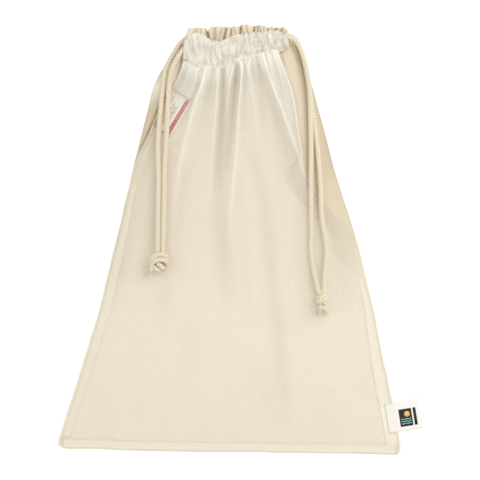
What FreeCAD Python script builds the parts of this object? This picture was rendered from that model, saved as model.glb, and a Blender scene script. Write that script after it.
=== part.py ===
import FreeCAD, Part
import math
import os

import Sketcher

# A drawstring produce bag lying flat on its back panel, mouth towards +Y and gathered by its two cords.
# The frame: +X across the bag, +Y from the bottom seam to the mouth, +Z up from the table.  The origin is
# on the table under the middle of the bag.  All sizes are millimetres.

V = FreeCAD.Vector
doc = FreeCAD.newDocument("mesh_produce_bag")
sizes = doc.addObject("Spreadsheet::Sheet", "sizes")

# Driving sizes: alias, value in millimetres (degrees where the name says so).
CELLS = [
    ("bottom_left_x", -150.5), ("bottom_left_y", -180.5),
    ("bottom_right_x", 149.5), ("bottom_right_y", -187),
    ("slit_left_x", -71.0), ("slit_right_x", 76.5), ("slit_y", 117),
    ("left_bow", 3.5), ("right_bow", 6.5),
    ("neck_left_x", -44), ("neck_right_x", 57),
    ("back_gauge", 0.8), ("mesh_gauge", 0.8),
    ("edge_rise", 2.0), ("hem_puff", 2.0), ("bag_puff", 16.0), ("neck_rise", 9.0), ("neck_puff", 8.2),
    ("seam_gauge", 1.1), ("left_seam_width", 10), ("right_seam_width", 13), ("bottom_seam_width", 8),
    ("casing_left", -33), ("casing_right", 46), ("casing_reach", 11.5), ("casing_wall", 0.5),
    ("trough_half", 3.05), ("crest_half", 4.0),
    ("front_casing_y", 166), ("front_casing_z", 17),
    ("back_casing_y", 177), ("back_casing_z", 4.1),
    ("cuff_length", 4), ("cuff_wall", 0.9),
    ("cord_size", 4.3), ("cord_spacing", 3.0), ("loop_bend", 4.3),
    ("left_knot_x", -60.2), ("left_knot_y", -19.5), ("left_knot_z", 19.8),
    ("left_knot_wide", 16.0), ("left_knot_long", 19.0), ("left_knot_deep", 11.0),
    ("right_knot_x", 79.4), ("right_knot_y", -51.0), ("right_knot_z", 18.6),
    ("right_knot_wide", 11.5), ("right_knot_long", 13.5), ("right_knot_deep", 10.0),
    ("stitch_length", 2.0), ("stitch_width", 0.7), ("stitch_rise", 0.4),
    ("tag_gauge", 0.6), ("tag_width", 26), ("tag_out", 20.5), ("tag_in", 8.5), ("tag_turn_degrees", 9),
    ("tag_fold_x", 145.6), ("tag_fold_y", -154.6), ("tag_underside", 1.3),
    ("label_x", -52.5), ("label_y", 111.9), ("label_wide", 24), ("label_long", 35.5),
    ("label_gauge", 0.4), ("label_turn_degrees", -31),
]
for row, (alias, number) in enumerate(CELLS, start=1):
    sizes.set(f"A{row}", alias)
    sizes.set(f"B{row}", str(number))
    sizes.setAlias(f"B{row}", alias)
doc.recompute()


def size(alias):
    """The number in one cell of the sheet."""
    return float(sizes.get(alias))


def new_body(name):
    """An empty body whose label is its node name."""
    body = doc.addObject("PartDesign::Body", name)
    body.Label = name
    body.AllowCompound = True
    return body


def new_sketch(body, name, role, offset):
    """A sketch on one of the body's own planes, moved along the plane's normal by an expression."""
    plane = [feature for feature in body.Origin.OriginFeatures if feature.Role == role][0]
    sketch = body.newObject("Sketcher::SketchObject", name)
    sketch.AttachmentSupport = [(plane, "")]
    sketch.MapMode = "FlatFace"
    sketch.setExpression("AttachmentOffset.Base.z", offset)
    return sketch


def spot(sketch, point):
    """The present place of a point given as two expressions."""
    return V(*[float(sketch.evalExpression(part)) for part in point], 0)


def tie(sketch, geometry, end, point):
    """Holds one end of a sketch line to a point given as two expressions."""
    here = spot(sketch, point)
    for kind, number, expression in zip(("DistanceX", "DistanceY"), here, point):
        held = sketch.addConstraint(Sketcher.Constraint(kind, geometry, end, number))
        sketch.setExpression(f"Constraints[{held}]", expression)


def outline(sketch, corners, middles=None):
    """Draws a closed outline through corners.  An edge whose number is in middles is an arc through that point."""
    middles = middles or {}
    count = len(corners)
    ends = []
    for edge in range(count):
        start = spot(sketch, corners[edge])
        finish = spot(sketch, corners[(edge + 1) % count])
        if edge in middles:
            shape = Part.Arc(start, spot(sketch, middles[edge]), finish)
        else:
            shape = Part.LineSegment(start, finish)
        number = sketch.addGeometry(shape)
        forward = sketch.getPoint(number, 1).distanceToPoint(start) < 1e-6
        ends.append((number, 1, 2) if forward else (number, 2, 1))
    for edge in range(count):
        number, first, last = ends[edge]
        following, its_first, _ = ends[(edge + 1) % count]
        sketch.addConstraint(Sketcher.Constraint("Coincident", number, last, following, its_first))
        tie(sketch, number, first, corners[edge])
        if edge in middles:
            middle = sketch.addGeometry(Part.Point(spot(sketch, middles[edge])), True)
            tie(sketch, middle, 1, middles[edge])
            sketch.addConstraint(Sketcher.Constraint("PointOnObject", middle, 1, number))


def pad(body, name, sketch, length):
    """A pad whose length is an expression."""
    feature = body.newObject("PartDesign::Pad", name)
    feature.Profile = sketch
    feature.setExpression("Length", length)
    sketch.Visibility = False
    return feature


# ---- the two big panels --------------------------------------------------------------------------------

def side_x(side, share, inset=0):
    """Where one side edge stands at a share of the way from the bottom corner to the slit."""
    inward = 1 if side == "left" else -1
    return (
        f"sizes.bottom_{side}_x + (sizes.slit_{side}_x - sizes.bottom_{side}_x) * {share}"
        f" + sizes.{side}_bow * {4 * share * (1 - share):.4f} + {inward * inset}"
    )


def side_y(side, share):
    """How far up one side edge is at a share of the way from the bottom corner to the slit."""
    return f"sizes.bottom_{side}_y + (sizes.slit_y - sizes.bottom_{side}_y) * {share}"


def side_point(side, share, inset=0):
    """A point on, or inset from, one side edge."""
    return side_x(side, share, inset), side_y(side, share)


def make_back_panel():
    """The cotton back: a flat sheet, wide at the bottom and drawn in at the neck."""
    body = new_body("back_panel")
    sketch = new_sketch(body, "back_outline", "XY_Plane", "0")
    top = "sizes.back_casing_y - sizes.casing_reach - 0.3"
    corners = [
        side_point("left", 0), side_point("right", 0), side_point("right", 1),
        ("sizes.neck_right_x + 3", top), ("sizes.neck_left_x - 3", top), side_point("left", 1),
    ]
    middles = {
        1: side_point("right", 0.5),
        2: ("sizes.slit_right_x - 6", "sizes.slit_y + 26"),
        4: ("sizes.slit_left_x + 7.5", "sizes.slit_y + 26"),
        5: side_point("left", 0.5),
    }
    outline(sketch, corners, middles)
    pad(body, "back_sheet", sketch, "sizes.back_gauge")
    return body


def arch(body, number, y, left, right, rise, puff):
    """One cross-section of the front panel: a thin strip that stands at rise and crowns puff above it."""
    sketch = new_sketch(body, f"front_section_{number}", "XZ_Plane", f"-({y})")
    middle = f"(({left}) + ({right})) / 2"
    corners = [
        (left, rise), (right, rise),
        (right, f"{rise} + sizes.mesh_gauge"), (left, f"{rise} + sizes.mesh_gauge"),
    ]
    middles = {0: (middle, f"{rise} + {puff}"), 2: (middle, f"{rise} + {puff} + sizes.mesh_gauge")}
    outline(sketch, corners, middles)
    sketch.Visibility = False
    return sketch


def make_front_panel():
    """The mesh front: a thin sheet lofted over a low cushion of air, ending in a level lip at the casing."""
    body = new_body("front_panel")
    sections = []
    shares = (0, 0.03, 0.08, 0.15, 0.24, 0.36, 0.52, 0.68, 0.84, 1)
    for number, share in enumerate(shares):
        swell = math.sin(min(1, share / 0.3) * math.pi / 2)
        y = f"(({side_y('left', share)}) + ({side_y('right', share)})) / 2"
        puff = f"(sizes.hem_puff + (sizes.bag_puff - sizes.hem_puff) * {swell:.4f})"
        left = side_x("left", share, 0.4)
        right = side_x("right", share, 0.4)
        sections.append(arch(body, number, y, left, right, "sizes.edge_rise", puff))
    slope = math.degrees(math.atan2(size("bottom_right_y") - size("bottom_left_y"),
                                    size("bottom_right_x") - size("bottom_left_x")))
    sections[0].AttachmentOffset = FreeCAD.Placement(sections[0].AttachmentOffset.Base,
                                                     FreeCAD.Rotation(V(0, 1, 0), slope))
    lip = "(sizes.front_casing_y - sizes.casing_reach - 1.4)"
    for along, inward in ((0.34, 0.22), (0.7, 0.68), (1, 1)):
        y = f"sizes.slit_y + ({lip} - 4.5 - sizes.slit_y) * {along}"
        left = f"sizes.slit_left_x + (sizes.neck_left_x - sizes.slit_left_x) * {inward}"
        right = f"sizes.slit_right_x + (sizes.neck_right_x - sizes.slit_right_x) * {inward}"
        rise = f"(sizes.edge_rise + (sizes.neck_rise - sizes.edge_rise) * {inward})"
        puff = f"(sizes.bag_puff + (sizes.neck_puff - sizes.bag_puff) * {inward})"
        sections.append(arch(body, len(sections), y, left, right, rise, puff))
    sections.append(arch(body, len(sections), lip, "sizes.neck_left_x", "sizes.neck_right_x",
                         "sizes.neck_rise", "sizes.neck_puff"))
    loft = body.newObject("PartDesign::AdditiveLoft", "front_sheet")
    loft.Profile = sections[0]
    loft.Sections = sections[1:]
    loft.Ruled = True
    return body


# ---- seam allowances inside the bag --------------------------------------------------------------------

def make_side_seam(side):
    """The overlocked allowance along one side, a strip lying on the back panel inside the edge."""
    body = new_body(f"{side}_side_seam")
    sketch = new_sketch(body, f"{side}_seam_outline", "XY_Plane", "sizes.back_gauge")
    inward = "+" if side == "left" else "-"
    width = f" {inward} sizes.{side}_seam_width"
    inner = [(side_x(side, share) + width, side_y(side, share)) for share in (0, 0.5, 1)]
    outer = [side_point(side, share, 0.4) for share in (0, 0.5, 1)]
    outline(sketch, [outer[0], inner[0], inner[2], outer[2]], {1: inner[1], 3: outer[1]})
    pad(body, f"{side}_seam_strip", sketch, "sizes.seam_gauge")
    if side == "right":
        notch = new_sketch(body, "tag_notch_outline", "XY_Plane", "sizes.tag_underside")
        tag_rectangle(notch, "-sizes.right_seam_width * 1.6", "6", "0.3")
        pocket = body.newObject("PartDesign::Pocket", "tag_notch")
        pocket.Profile = notch
        pocket.Reversed = True
        pocket.setExpression("Length", "sizes.seam_gauge")
        notch.Visibility = False
    return body


def make_bottom_seam():
    """The allowance along the bottom, between the two side strips."""
    body = new_body("bottom_seam")
    sketch = new_sketch(body, "bottom_seam_outline", "XY_Plane", "sizes.back_gauge")
    left = "sizes.bottom_left_x + sizes.left_seam_width + 2.8"
    right = "sizes.bottom_right_x - sizes.right_seam_width - 2.2"
    low_left, low_right = "sizes.bottom_left_y + 0.1", "sizes.bottom_right_y + 0.6"
    corners = [
        (left, low_left), (right, low_right),
        (right, f"{low_right} + sizes.bottom_seam_width"), (left, f"{low_left} + sizes.bottom_seam_width"),
    ]
    outline(sketch, corners)
    pad(body, "bottom_seam_strip", sketch, "sizes.seam_gauge")
    return body


# ---- gathered casings and their end cuffs --------------------------------------------------------------

def slot_outline(sketch, centre_y, centre_z, reach, half):
    """A closed slot shape in the YZ plane: two level lines whose ends are joined by three short ones."""
    straight = f"(({reach}) - ({half}))"
    corners = []
    for way in (1, -1):
        for out, rise in ((0, -1), (0.866, -0.5), (0.866, 0.5), (0, 1)):
            y = f"{centre_y} + {way} * ({straight} + {out} * ({half}))"
            corners.append((y, f"{centre_z} + {way * rise} * ({half})"))
    outline(sketch, corners)


def make_casing(face, pleats, phase):
    """A tunnel of cloth gathered on its cords: hollow slots that swell and sink along X, lofted together."""
    body = new_body(f"{face}_casing")
    centre_y, centre_z = f"sizes.{face}_casing_y", f"sizes.{face}_casing_z"
    sections = []
    steps = 4 * pleats
    for step in range(steps + 1):
        inner = 0 < step < steps
        jitter = 0.7 * math.sin(0.57 * step + phase) if inner else 0
        share = (step + jitter) / steps
        fullness = 0.75 + 0.25 * math.sin(0.95 * step + phase)
        swell = fullness * (1 - math.cos(step * math.pi / 2)) / 2
        droop = 0.9 * math.sin(0.7 * step + phase) * swell
        x = f"sizes.casing_left + (sizes.casing_right - sizes.casing_left) * {share:.4f}"
        half = f"(sizes.trough_half + (sizes.crest_half - sizes.trough_half) * {swell:.3f})"
        sketch = new_sketch(body, f"{face}_pleat_{step}", "YZ_Plane", x)
        reach = f"(sizes.casing_reach + {droop:.3f})"
        slot_outline(sketch, centre_y, centre_z, reach, half)
        slot_outline(sketch, centre_y, centre_z, f"{reach} - sizes.casing_wall", f"{half} - sizes.casing_wall")
        sketch.Visibility = False
        sections.append(sketch)
    loft = body.newObject("PartDesign::AdditiveLoft", f"{face}_gathers")
    loft.Profile = sections[0]
    loft.Sections = sections[1:]
    loft.Ruled = True
    return body


def make_cuff(side, face):
    """The turned hem that ends one casing: a short ring the cords come out of."""
    body = new_body(f"{side}_{face}_cuff")
    start = "sizes.casing_left - sizes.cuff_length" if side == "left" else "sizes.casing_right"
    sketch = new_sketch(body, f"{side}_{face}_cuff_outline", "YZ_Plane", start)
    centre_y, centre_z = f"sizes.{face}_casing_y", f"sizes.{face}_casing_z"
    half = "sizes.crest_half"
    reach = "sizes.casing_reach - 0.4"
    slot_outline(sketch, centre_y, centre_z, reach, half)
    slot_outline(sketch, centre_y, centre_z, f"{reach} - sizes.cuff_wall", f"{half} - sizes.cuff_wall")
    pad(body, f"{side}_{face}_cuff_ring", sketch, "sizes.cuff_length")
    return body


# ---- stitching -----------------------------------------------------------------------------------------

def make_front_stitching():
    """The row of stitches that closes the mesh casing, laid along the arch of the front panel's lip."""
    body = new_body("front_casing_stitching")
    half_span = (size("neck_right_x") - size("neck_left_x")) / 2
    puff = size("neck_puff")
    radius = (half_span ** 2 + puff ** 2) / (2 * puff)
    middle = (size("neck_right_x") + size("neck_left_x")) / 2
    crown = size("neck_rise") + puff + size("mesh_gauge")
    sketch = new_sketch(body, "front_stitch_outline", "XZ_Plane",
                        "-(sizes.front_casing_y - sizes.casing_reach - 3.6)")
    sketch.setExpression("AttachmentOffset.Base.x", "(sizes.neck_left_x + sizes.neck_right_x) / 2")
    sketch.AttachmentOffset = FreeCAD.Placement(
        V(middle, crown - radius, sketch.AttachmentOffset.Base.z), FreeCAD.Rotation(V(0, 0, 1), 0))
    low = f"{radius + 0.03:.3f}"
    high = f"{radius + 0.03:.3f} + sizes.stitch_rise"
    half = "sizes.stitch_length / 2"
    outline(sketch, [(f"-{half}", low), (half, low), (half, high), (f"-{half}", high)])
    first = pad(body, "front_stitch", sketch, "sizes.stitch_width")
    spread = 2 * math.degrees(math.asin((half_span - 3) / radius))
    row = body.newObject("PartDesign::PolarPattern", "front_stitch_row")
    row.Originals = [first]
    row.Axis = (sketch, ["N_Axis"])
    row.Angle = spread
    row.Occurrences = 29
    body.Tip = row
    sketch.AttachmentOffset = FreeCAD.Placement(
        sketch.AttachmentOffset.Base, FreeCAD.Rotation(V(0, 0, 1), -spread / 2))
    return body


def make_back_stitching():
    """The straight row of stitches that closes the cotton casing, on the inner face of the back panel."""
    body = new_body("back_casing_stitching")
    sketch = new_sketch(body, "back_stitch_outline", "XY_Plane", "sizes.back_gauge + 0.02")
    low = "sizes.back_casing_y - sizes.casing_reach - 2.4"
    start = "sizes.neck_left_x"
    corners = [
        (start, low), (f"{start} + sizes.stitch_length", low),
        (f"{start} + sizes.stitch_length", f"{low} + sizes.stitch_width"), (start, f"{low} + sizes.stitch_width"),
    ]
    outline(sketch, corners)
    first = pad(body, "back_stitch", sketch, "sizes.stitch_rise")
    row = body.newObject("PartDesign::LinearPattern", "back_stitch_row")
    row.Originals = [first]
    row.Direction = (sketch, ["H_Axis"])
    row.setExpression("Length", "sizes.neck_right_x - sizes.neck_left_x - sizes.stitch_length")
    row.Occurrences = 29
    body.Tip = row
    return body


# ---- labels --------------------------------------------------------------------------------------------

def turned(point, about, angle):
    """A point given by two expressions, turned about another by an angle cell."""
    x, y = point
    return (
        f"{about[0]} + ({x}) * cos({angle} * 1deg) - ({y}) * sin({angle} * 1deg)",
        f"{about[1]} + ({x}) * sin({angle} * 1deg) + ({y}) * cos({angle} * 1deg)",
    )


def tag_rectangle(sketch, near, far, spare):
    """A rectangle across the side tag's fold, from near to far along the tag, spare wider than it."""
    half = f"(sizes.tag_width / 2 + {spare})"
    about = ("sizes.tag_fold_x", "sizes.tag_fold_y")
    corners = [(near, f"-{half}"), (far, f"-{half}"), (far, half), (near, half)]
    outline(sketch, [turned(corner, about, "sizes.tag_turn_degrees") for corner in corners])


def make_side_tag():
    """The loose part of the folded side tag, which swings on the seam."""
    body = new_body("side_tag")
    sketch = new_sketch(body, "side_tag_outline", "XY_Plane", "sizes.tag_underside")
    tag_rectangle(sketch, "0.6", "sizes.tag_out", "0")
    pad(body, "side_tag_fold", sketch, "sizes.tag_gauge")
    return body


def make_side_tag_root():
    """The sewn end of the side tag, caught between the layers of the right side seam."""
    body = new_body("side_tag_root")
    sketch = new_sketch(body, "side_tag_root_outline", "XY_Plane", "sizes.tag_underside")
    tag_rectangle(sketch, "-sizes.tag_in", "-0.3", "0")
    pad(body, "side_tag_root_fold", sketch, "sizes.tag_gauge")
    return body


def make_care_label():
    """The narrow ribbon label inside the bag, held in the left side seam."""
    body = new_body("care_label")
    sketch = new_sketch(body, "care_label_outline", "XY_Plane", "sizes.back_gauge + sizes.seam_gauge")
    wide, long = "sizes.label_wide / 2", "sizes.label_long / 2"
    corners = [(f"-{wide}", f"-{long}"), (wide, f"-{long}"), (wide, long), (f"-{wide}", long)]
    about = ("sizes.label_x", "sizes.label_y")
    outline(sketch, [turned(corner, about, "sizes.label_turn_degrees") for corner in corners])
    pad(body, "care_label_ribbon", sketch, "sizes.label_gauge")
    return body


# ---- cords ---------------------------------------------------------------------------------------------

CORD_SIDES = 8

# The routes of the four loose tails, each from its cuff to its knot.
TAIL_ROUTES = {
    "left_front_tail": [
        (-37.3, 163, 17), (-45.5, 163, 17), (-51.2, 148, 14.6), (-53.4, 131, 12),
        (-54.1, 111, 13.4), (-54.8, 89, 14.6), (-57.2, 60, 15.6), (-56.9, 26, 16.6), (-58, -9.8, 19),
    ],
    "left_back_tail": [
        (-37.3, 174, 4.1), (-46.5, 174, 4.1), (-53.2, 160, 6.5), (-58.2, 144.5, 8.6),
        (-60, 126, 9.6), (-61.8, 104, 10.8), (-62.8, 82, 12.6), (-61.6, 54, 14.5), (-62.3, 22, 16), (-62.4, -9.8, 18.8),
    ],
    "right_front_tail": [
        (50.3, 169, 17), (59.6, 169, 17), (64, 156, 16), (66.6, 143, 14.2), (68.6, 126, 13),
        (69.8, 106, 13), (70.4, 80, 14), (70, 46, 15), (70.5, 10, 16.4), (69.7, -18, 17), (76.4, -44, 18.4),
    ],
    "right_back_tail": [
        (50.3, 180, 4.1), (60, 180, 4.1), (64.9, 166, 6), (67.4, 151, 7.6), (69.4, 135, 8.2),
        (72.2, 114, 8.6), (75.8, 84, 11), (79.2, 50, 13), (79, 18, 14.8), (84.2, -8, 14.8),
        (81.6, -28, 16.5), (81.1, -44, 18.2),
    ],
}


def route_wire(points, name):
    """Straight runs joined by tangent arcs, one at each inner point.  Prints the arcs' radii."""
    corners = [V(*point) for point in points]
    edges = []
    radii = []
    start = corners[0]
    for before, corner, after in zip(corners, corners[1:], corners[2:]):
        inward, outward = (corner - before).normalize(), (after - corner).normalize()
        turn = inward.getAngle(outward)
        cut = 0.45 * min(before.distanceToPoint(corner), corner.distanceToPoint(after))
        radius = cut / math.tan(turn / 2)
        radii.append(round(radius, 1))
        to_centre = (outward - inward).normalize()
        centre = corner + to_centre * (radius / math.cos(turn / 2))
        begin, finish = corner - inward * cut, corner + outward * cut
        edges.append(Part.LineSegment(start, begin).toShape())
        edges.append(Part.Arc(begin, centre - to_centre * radius, finish).toShape())
        start = finish
    edges.append(Part.LineSegment(start, corners[-1]).toShape())
    wire = Part.Wire(edges)
    print(name, "length", round(wire.Length, 1), "smallest radius", min(radii), "radii", radii)
    return wire


def cord_solid(wire, start, heading):
    """A cord of eight-sided section, as large as the round one, swept along a wire that starts at a point."""
    area = math.pi * (size("cord_size") / 2) ** 2
    slice_angle = 2 * math.pi / CORD_SIDES
    radius = math.sqrt(2 * area / CORD_SIDES / math.sin(slice_angle))
    aside = heading.cross(V(0, 0, 1)).normalize()
    upward = aside.cross(heading).normalize()
    ring = [start + aside * (radius * math.cos(k * slice_angle)) + upward * (radius * math.sin(k * slice_angle))
            for k in range(CORD_SIDES)]
    solid = wire.makePipe(Part.Face(Part.makePolygon(ring + ring[:1])))
    print("  volume over section x length", round(solid.Volume / area / wire.Length, 4))
    return solid


def add_solid(name, shape):
    """A feature that holds a shape worked out here from the sheet's sizes."""
    feature = doc.addObject("Part::Feature", name)
    feature.Label = name
    feature.Shape = shape
    feature.Placement = FreeCAD.Placement()
    return feature


def make_tail(name):
    """One loose tail of a drawstring."""
    points = TAIL_ROUTES[name]
    wire = route_wire(points, name)
    return add_solid(name, cord_solid(wire, V(*points[0]), V(*points[1]) - V(*points[0])))


def make_cord_loop(side):
    """The length of one drawstring inside the casings: through the front, round the far end, and back."""
    offset = -size("cord_spacing") if side == "left" else size("cord_spacing")
    near = size("casing_left") - size("cuff_length") - 0.3
    far = size("casing_right") + size("cuff_length") + 0.3
    outward = 1
    if side == "right":
        near, far, outward = far, near, -1
    front = V(0, size("front_casing_y") + offset, size("front_casing_z"))
    back = V(0, size("back_casing_y") + offset, size("back_casing_z"))
    across = (back - front).normalize()
    bend = size("loop_bend")
    along = V(outward, 0, 0)
    half = math.sqrt(0.5)

    def fillet(corner, inward, outgoing):
        """A quarter circle at a corner, from the inward direction to the outgoing one."""
        begin, finish = corner - inward * bend, corner + outgoing * bend
        centre = corner - inward * bend + outgoing * bend
        middle = centre + (inward - outgoing) * (bend * half)
        return begin, Part.Arc(begin, middle, finish).toShape(), finish

    front_corner = front + V(far + outward * bend, 0, 0)
    back_corner = back + V(far + outward * bend, 0, 0)
    first_begin, first_arc, first_end = fillet(front_corner, along, across)
    second_begin, second_arc, second_end = fillet(back_corner, across, -along)
    start, finish = front + V(near, 0, 0), back + V(near, 0, 0)
    wire = Part.Wire([
        Part.LineSegment(start, first_begin).toShape(), first_arc,
        Part.LineSegment(first_end, second_begin).toShape(), second_arc,
        Part.LineSegment(second_end, finish).toShape(),
    ])
    print(f"{side}_cord_loop length", round(wire.Length, 1), "bends", bend)
    return add_solid(f"{side}_cord_loop", cord_solid(wire, start, along))


def make_knot(side, ends):
    """The overhand knot that joins one drawstring's two tails: a rounded lump with two cut ends below it."""
    body = new_body(f"{side}_knot")
    middle = (f"sizes.{side}_knot_x", f"sizes.{side}_knot_y")
    wide, long, deep = (f"sizes.{side}_knot_{way} / 2" for way in ("wide", "long", "deep"))
    sketch = new_sketch(body, f"{side}_knot_outline", "XY_Plane", f"sizes.{side}_knot_z - {deep}")
    corners = []
    for step in range(8):
        angle = math.pi / 4 * (step + 0.5)
        corners.append((f"{middle[0]} + {wide} * {1.03 * math.cos(angle):.3f}",
                        f"{middle[1]} + {long} * {1.03 * math.sin(angle):.3f}"))
    outline(sketch, corners)
    lump = pad(body, f"{side}_knot_lump", sketch, f"sizes.{side}_knot_deep")
    doc.recompute()
    rims = [f"Edge{number}" for number, edge in enumerate(lump.Shape.Edges, start=1)
            if abs(edge.tangentAt(edge.FirstParameter).z) < 0.5]
    bevel = body.newObject("PartDesign::Chamfer", f"{side}_knot_bevel")
    bevel.Base = (lump, rims)
    bevel.setExpression("Size", f"sizes.{side}_knot_deep * 0.24")
    for number, (sideways, length) in enumerate(ends):
        end = body.newObject("PartDesign::AdditivePrism", f"{side}_knot_end_{number}")
        end.Polygon = CORD_SIDES
        end.setExpression("Circumradius", "sizes.cord_size * 0.5")
        end.Height = length
        heading = V(sideways, -1, -0.1)
        centre = V(*[size(f"{side}_knot_{axis}") for axis in "xyz"])
        start = centre + V(sideways, -1, -0.1) * (size(f"{side}_knot_long") * 0.3)
        end.AttachmentOffset = FreeCAD.Placement(start, FreeCAD.Rotation(V(0, 0, 1), heading))
        end.Placement = end.AttachmentOffset
    return body


# ---- build, check and write ----------------------------------------------------------------------------

def build():
    """Makes every node and returns them in order."""
    nodes = [make_back_panel(), make_front_panel()]
    nodes += [make_side_seam("left"), make_side_seam("right"), make_bottom_seam()]
    nodes += [make_casing("front", 11, 0.4), make_casing("back", 9, 1.7)]
    nodes += [make_cuff(side, face) for side in ("left", "right") for face in ("front", "back")]
    nodes += [make_front_stitching(), make_back_stitching()]
    nodes += [make_side_tag(), make_side_tag_root(), make_care_label()]
    nodes += [make_cord_loop("left"), make_cord_loop("right")]
    nodes += [make_tail(name) for name in TAIL_ROUTES]
    nodes += [make_knot("left", [(-0.75, 9), (0.3, 9)]), make_knot("right", [(-0.3, 12), (0.15, 13)])]
    return nodes


def check(nodes):
    """Stops the build if any object failed or any node isn't a valid closed shape."""
    for thing in doc.Objects:
        if "Invalid" in thing.State or "Error" in thing.State:
            raise RuntimeError(f"{thing.Name} failed: {thing.State}")
    for node in nodes:
        shape = node.Shape
        if shape.isNull() or not shape.isValid() or not shape.Solids:
            raise RuntimeError(f"{node.Label} has no valid solid")


def write(nodes):
    """Writes one STEP file per node and prints each one's size."""
    os.makedirs("parts", exist_ok=True)
    for old in os.listdir("parts"):
        os.remove(os.path.join("parts", old))
    for node in nodes:
        node.Shape.exportStep(os.path.join("parts", f"{node.Label}.step"))
        box = node.Shape.BoundBox
        print(f"{node.Label:24s} solids {len(node.Shape.Solids):3d} volume {node.Shape.Volume:9.1f}"
              f"  x {box.XMin:7.1f} {box.XMax:7.1f}  y {box.YMin:7.1f} {box.YMax:7.1f}"
              f"  z {box.ZMin:6.2f} {box.ZMax:6.2f}")


made = build()
doc.recompute()
check(made)
write(made)
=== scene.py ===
import math
import random

import bpy
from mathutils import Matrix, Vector, noise


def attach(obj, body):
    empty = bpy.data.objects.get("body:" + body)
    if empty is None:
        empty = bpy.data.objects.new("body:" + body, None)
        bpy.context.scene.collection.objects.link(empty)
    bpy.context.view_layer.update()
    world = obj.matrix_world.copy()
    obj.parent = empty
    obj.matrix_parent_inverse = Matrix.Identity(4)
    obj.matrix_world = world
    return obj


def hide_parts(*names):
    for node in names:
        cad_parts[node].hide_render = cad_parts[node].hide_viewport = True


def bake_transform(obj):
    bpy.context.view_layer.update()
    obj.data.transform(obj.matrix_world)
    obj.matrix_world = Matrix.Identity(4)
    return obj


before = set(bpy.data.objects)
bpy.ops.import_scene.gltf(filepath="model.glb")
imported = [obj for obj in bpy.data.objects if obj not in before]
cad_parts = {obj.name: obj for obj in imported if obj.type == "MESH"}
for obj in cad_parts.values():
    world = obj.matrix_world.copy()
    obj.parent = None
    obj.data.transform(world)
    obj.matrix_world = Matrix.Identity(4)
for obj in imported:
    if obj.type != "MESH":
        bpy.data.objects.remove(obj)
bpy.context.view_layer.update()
MM = 0.001               # every length below is in millimetres until a mesh is made

# ---- camera and light

CAMERA_HEIGHT = 1500
CAMERA_X = 8.7
FIELD = 417.6            # width of what the camera takes in, at the height of the bag
SENSOR = 36
CROWN = 8                # height over the table where the field is measured
SKY_STRENGTH = 0.68
FLOOR_REACH = 4.0        # metres from the middle to the floor's sides
FLOOR_GAP = 0.0004       # metres that the floor lies below the bag


def make_camera():
    """A long lens straight above the bag, with the mouth at the top of the frame."""
    data = bpy.data.cameras.new("camera")
    data.sensor_width = SENSOR
    data.lens = SENSOR * (CAMERA_HEIGHT - CROWN) / FIELD
    camera = bpy.data.objects.new("camera", data)
    camera.location = (CAMERA_X * MM, 0, CAMERA_HEIGHT * MM)
    bpy.context.scene.collection.objects.link(camera)
    bpy.context.scene.camera = camera


def make_lamp(name, spot, size, power):
    """A soft box that faces the middle of the bag."""
    data = bpy.data.lights.new(name, "AREA")
    data.shape = "DISK"
    data.size = size
    data.energy = power
    lamp = bpy.data.objects.new(name, data)
    lamp.location = spot
    lamp.rotation_euler = (-Vector(spot)).to_track_quat("-Z", "Y").to_euler()
    bpy.context.scene.collection.objects.link(lamp)


def make_studio():
    """A pale floor, an even pale sky and two soft boxes."""
    bpy.context.scene.view_settings.view_transform = "Standard"
    world = bpy.data.worlds.new("studio")
    world.use_nodes = True
    sky = world.node_tree.nodes["Background"]
    sky.inputs["Color"].default_value = (1, 1, 1, 1)
    sky.inputs["Strength"].default_value = SKY_STRENGTH
    bpy.context.scene.world = world
    make_lamp("key_box", (0.6, 0.42, 1.25), 1.1, 10.7)
    make_lamp("fill_box", (-0.9, 0.1, 1.2), 0.9, 2.6)
    floor_mesh = bpy.data.meshes.new("floor")
    corners = ((-1, -1), (1, -1), (1, 1), (-1, 1))
    floor_mesh.from_pydata([(x * FLOOR_REACH, y * FLOOR_REACH, -FLOOR_GAP) for x, y in corners], [], [(0, 1, 2, 3)])
    floor = bpy.data.objects.new("floor", floor_mesh)
    bpy.context.scene.collection.objects.link(floor)
    paper = bpy.data.materials.new("paper")
    paper.use_nodes = True
    shader = paper.node_tree.nodes["Principled BSDF"]
    shader.inputs["Base Color"].default_value = (0.93, 0.93, 0.93, 1)
    shader.inputs["Roughness"].default_value = 0.9
    shader.inputs["Emission Color"].default_value = (1, 1, 1, 1)
    shader.inputs["Emission Strength"].default_value = 0.3
    floor_mesh.materials.append(paper)


# ---- materials

CALICO_PITCH, NET_PITCH, RIBBON_PITCH = 0.00062, 0.00115, 0.00045     # metres from thread to thread


def connect(tree, socket, value):
    """Links a socket to another one, or sets it to a constant."""
    if isinstance(value, bpy.types.NodeSocket):
        tree.links.new(value, socket)
    else:
        socket.default_value = value


def node(tree, kind, **inputs):
    """A shader node with its sockets set or linked. Names use _ for a space, and in1, in2 for numbered sockets."""
    made = tree.nodes.new(kind)
    for key, value in inputs.items():
        if key in ("operation", "data_type", "bands_direction", "attribute_name"):
            setattr(made, key, value)
        else:
            numbered = key[:2] == "in" and key[2:].isdigit()
            connect(tree, made.inputs[int(key[2:]) if numbered else key.replace("_", " ")], value)
    return made


def blank_material(name):
    """A material with an empty tree, its output, and the object's own coordinates in metres."""
    material = bpy.data.materials.new(name)
    material.use_nodes = True
    tree = material.node_tree
    tree.nodes.clear()
    output = tree.nodes.new("ShaderNodeOutputMaterial")
    place = tree.nodes.new("ShaderNodeTexCoord").outputs["Object"]
    return material, tree, output, place


def maths(tree, operation, first, second=0.0, third=None):
    """One Math node's result."""
    extra = {} if third is None else {"in2": third}
    return node(tree, "ShaderNodeMath", operation=operation, in0=first, in1=second, **extra).outputs[0]


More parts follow.
